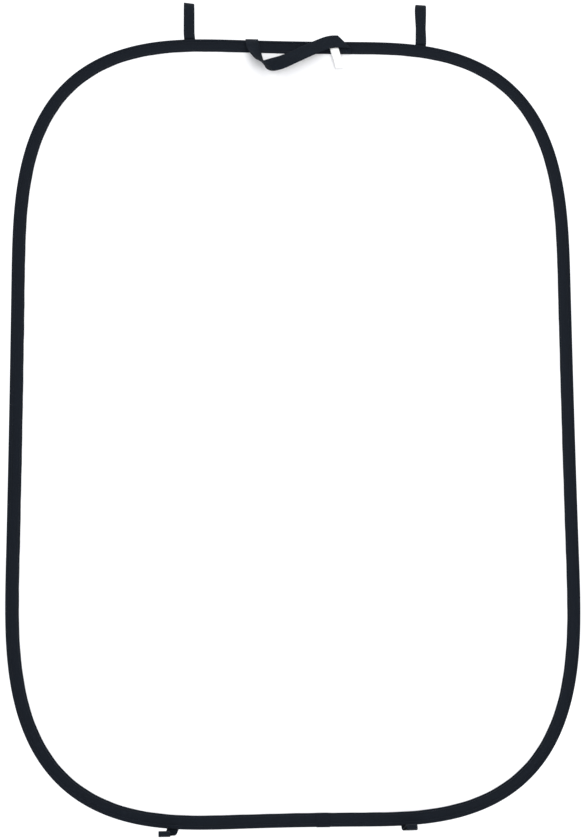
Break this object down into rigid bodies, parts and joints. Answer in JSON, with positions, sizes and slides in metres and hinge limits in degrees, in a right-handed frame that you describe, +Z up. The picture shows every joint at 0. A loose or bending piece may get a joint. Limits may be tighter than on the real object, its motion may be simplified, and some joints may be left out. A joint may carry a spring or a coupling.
{
  "type": "collapsible reflector panel",
  "caption": "Tall pop-up reflector panel with rounded corners: white cloth on a sprung hoop in black edge tape, with webbing loops, a carrying strap and a folding middle.",
  "frame": {"origin": "on the axis of the bar that the two top loops hang from, above the middle of the panel", "axes": "+Z up along the panel's long side, -Y out of the white face, +X to the viewer's right"},
  "size_m": [1.4986, 0.0784, 2.2079],
  "materials": {
    "white_cloth": "matte",
    "silver_cloth": "satin",
    "edge_tape": "matte",
    "loop_webbing": "matte",
    "strap_webbing": "matte",
    "hoop_steel": "satin",
    "label_cloth": "satin"
  },
  "bodies": {
    "upper_half": {"hoop_upper": "hoop_steel", "edge_tape_upper": "edge_tape", "front_cloth_upper": "white_cloth", "back_cloth_upper": "silver_cloth", "top_loop_left_end": "loop_webbing", "top_loop_right_end": "loop_webbing", "strap_end_left": "strap_webbing", "strap_end_right": "strap_webbing", "label_hem": "label_cloth"},
    "lower_half": {"hoop_lower_right": "hoop_steel", "hoop_lower_left": "hoop_steel", "hoop_sleeve": "hoop_steel", "edge_tape_lower": "edge_tape", "edge_tape_lap": "edge_tape", "front_cloth_lower": "white_cloth", "back_cloth_lower": "silver_cloth", "bottom_loop_left_end": "loop_webbing", "bottom_loop_right_end": "loop_webbing"},
    "top_loop_left": {"top_loop_left": "loop_webbing"},
    "top_loop_right": {"top_loop_right": "loop_webbing"},
    "bottom_loop_left": {"bottom_loop_left": "loop_webbing"},
    "bottom_loop_right": {"bottom_loop_right": "loop_webbing"},
    "carrying_strap": {"carrying_strap": "strap_webbing"},
    "label": {"label": "label_cloth"}
  },
  "joints": [
    {"name": "half_fold", "type": "hinge", "parent": "upper_half", "child": "lower_half", "pos_m": [0, -0.006, -1.135], "axis": [-1, 0, 0], "range_deg": [0, 165], "stiffness_Nm_per_rad": 1.5},
    {"name": "top_loop_left_swing", "type": "hinge", "parent": "upper_half", "child": "top_loop_left", "pos_m": [-0.2825, 0, -0.08787], "axis": [1, 0, 0], "range_deg": [-100, 105], "stiffness_Nm_per_rad": 0.02},
    {"name": "top_loop_right_swing", "type": "hinge", "parent": "upper_half", "child": "top_loop_right", "pos_m": [0.352, 0, -0.09357], "axis": [1, 0, 0], "range_deg": [-100, 105], "stiffness_Nm_per_rad": 0.02},
    {"name": "bottom_loop_left_swing", "type": "hinge", "parent": "lower_half", "child": "bottom_loop_left", "pos_m": [-0.318, 0, -2.17991], "axis": [-1, 0, 0], "range_deg": [-112, 30], "stiffness_Nm_per_rad": 0.02},
    {"name": "bottom_loop_right_swing", "type": "hinge", "parent": "lower_half", "child": "bottom_loop_right", "pos_m": [0.2805, 0, -2.18224], "axis": [-1, 0, 0], "range_deg": [-112, 30], "stiffness_Nm_per_rad": 0.02},
    {"name": "strap_lift", "type": "hinge", "parent": "upper_half", "child": "carrying_strap", "pos_m": [0.003, -0.0082, -0.0904], "axis": [-1, 0, 0], "range_deg": [0, 94]},
    {"name": "label_swing", "type": "hinge", "parent": "upper_half", "child": "label", "pos_m": [0.109, -0.00755, -0.1147], "axis": [-1, 0, 0], "range_deg": [0, 66]}
  ]
}
